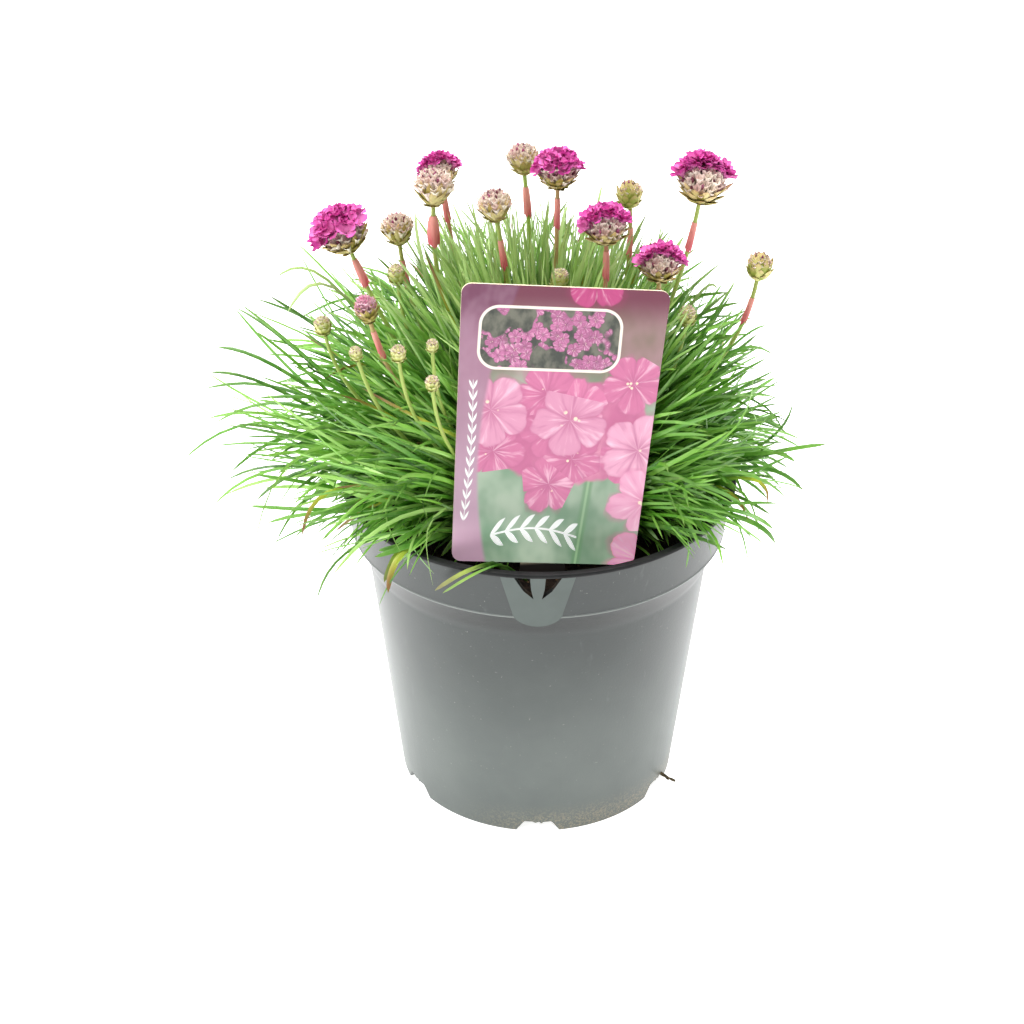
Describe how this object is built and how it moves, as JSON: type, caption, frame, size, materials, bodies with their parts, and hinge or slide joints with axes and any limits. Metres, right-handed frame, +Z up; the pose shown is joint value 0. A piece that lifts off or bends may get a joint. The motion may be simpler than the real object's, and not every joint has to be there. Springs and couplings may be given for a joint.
{
  "type": "potted sea thrift",
  "caption": "Tussock of narrow arching leaves with round magenta flower heads on bare stems, in a tapered nursery pot with a picture label.",
  "frame": {"origin": "centre of the pot's underside, on the ground", "axes": "+Z up, the picture label stands at the -Y side and faces -Y, +X to the label's right as seen from the front"},
  "size_m": [0.209, 0.1488, 0.2254],
  "materials": {
    "pot_plastic": "matte moulded",
    "soil": "damp potting soil, crumbly",
    "label_card": "printed, lightly glossy card",
    "leaf": "fresh green grass-like leaf, slightly waxy",
    "stem": "pale green bare stem",
    "sheath": "dry reddish sheath",
    "bract": "olive straw bracts with pinkish calyces",
    "papery": "papery pinkish calyces",
    "bud": "pale yellow-green bud scales",
    "petal": "magenta petals"
  },
  "bodies": {
    "root": {"pot": "pot_plastic", "soil": "soil", "label": "label_card", "foliage": "leaf", "stem_a": "stem", "sheath_a": "sheath", "cup_a": "bract", "petals_a": "petal", "stem_b": "stem", "sheath_b": "sheath", "head_b": "papery", "stem_c": "stem", "sheath_c": "sheath", "cup_c": "bract", "petals_c": "petal", "stem_d": "stem", "sheath_d": "sheath", "head_d": "papery", "stem_e": "stem", "sheath_e": "sheath", "head_e": "papery", "stem_f": "stem", "sheath_f": "sheath", "head_f": "papery", "stem_g": "stem", "sheath_g": "sheath", "cup_g": "bract", "petals_g": "petal", "stem_h": "stem", "sheath_h": "sheath", "cup_h": "bract", "petals_h": "petal", "stem_i": "stem", "sheath_i": "sheath", "bud_i": "bud", "stem_j": "stem", "sheath_j": "sheath", "cup_j": "bract", "petals_j": "petal", "stem_k": "stem", "sheath_k": "sheath", "cup_k": "bract", "petals_k": "petal", "stem_l": "stem", "sheath_l": "sheath", "bud_l": "bud", "stem_m": "stem", "sheath_m": "sheath", "head_m": "papery", "small_bud_a": "bud", "small_bud_b": "bud", "small_bud_c": "bud", "small_bud_d": "bud", "small_bud_e": "bud", "small_bud_f": "bud", "small_bud_g": "bud", "small_bud_h": "bud"}
  },
  "joints": []
}
